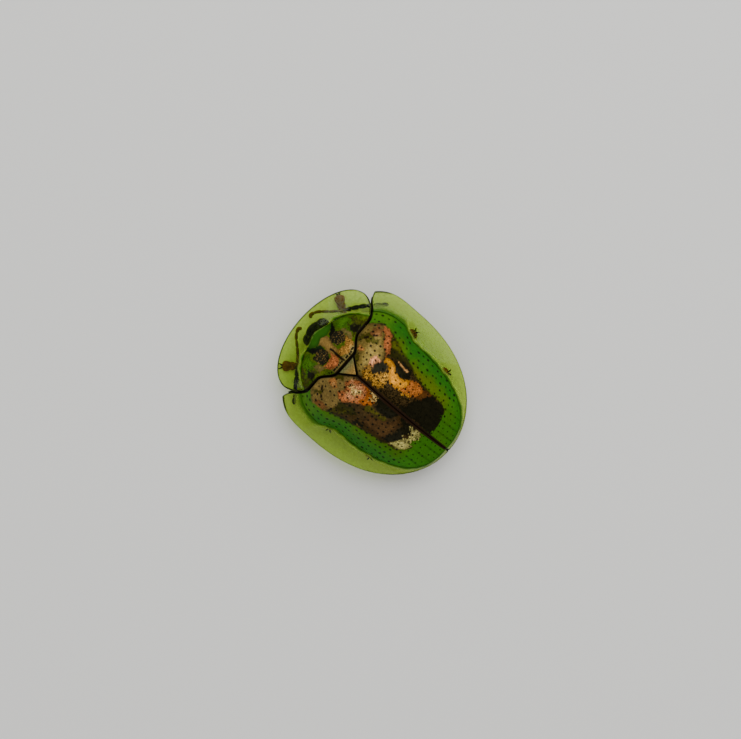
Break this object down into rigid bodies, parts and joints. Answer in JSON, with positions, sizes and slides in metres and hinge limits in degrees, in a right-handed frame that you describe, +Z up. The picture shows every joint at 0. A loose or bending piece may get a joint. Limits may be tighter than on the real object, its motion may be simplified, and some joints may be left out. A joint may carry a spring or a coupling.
{
  "type": "tortoise beetle model",
  "caption": "Life-size still model of a tortoise beetle with a domed metallic back, clear wide rims, tucked head, feelers and feet.",
  "frame": {"origin": "on the floor under the middle of the body's outline, so x = 0 is the beetle's mid plane and z = 0 is the floor under its feet", "axes": "+Z up, -Y towards the head, +X to the beetle's left side"},
  "size_m": [0.011, 0.013, 0.0051],
  "materials": {
    "copper_shell": "metallic copper and gold, glossy",
    "dark_brown_cuticle": "satin",
    "black_eye": "glossy",
    "belly_cuticle": "satin"
  },
  "bodies": {
    "root": {"pronotum": "copper_shell", "scutellum": "copper_shell", "elytron_left": "copper_shell", "elytron_right": "copper_shell", "head": "dark_brown_cuticle", "eye_left": "black_eye", "eye_right": "black_eye", "antenna_left": "dark_brown_cuticle", "antenna_right": "dark_brown_cuticle", "prothorax": "belly_cuticle", "thorax": "belly_cuticle", "abdomen": "belly_cuticle", "leg_front_left": "dark_brown_cuticle", "leg_front_right": "dark_brown_cuticle", "leg_mid_left": "dark_brown_cuticle", "leg_mid_right": "dark_brown_cuticle", "leg_hind_left": "dark_brown_cuticle", "leg_hind_right": "dark_brown_cuticle"}
  },
  "joints": []
}
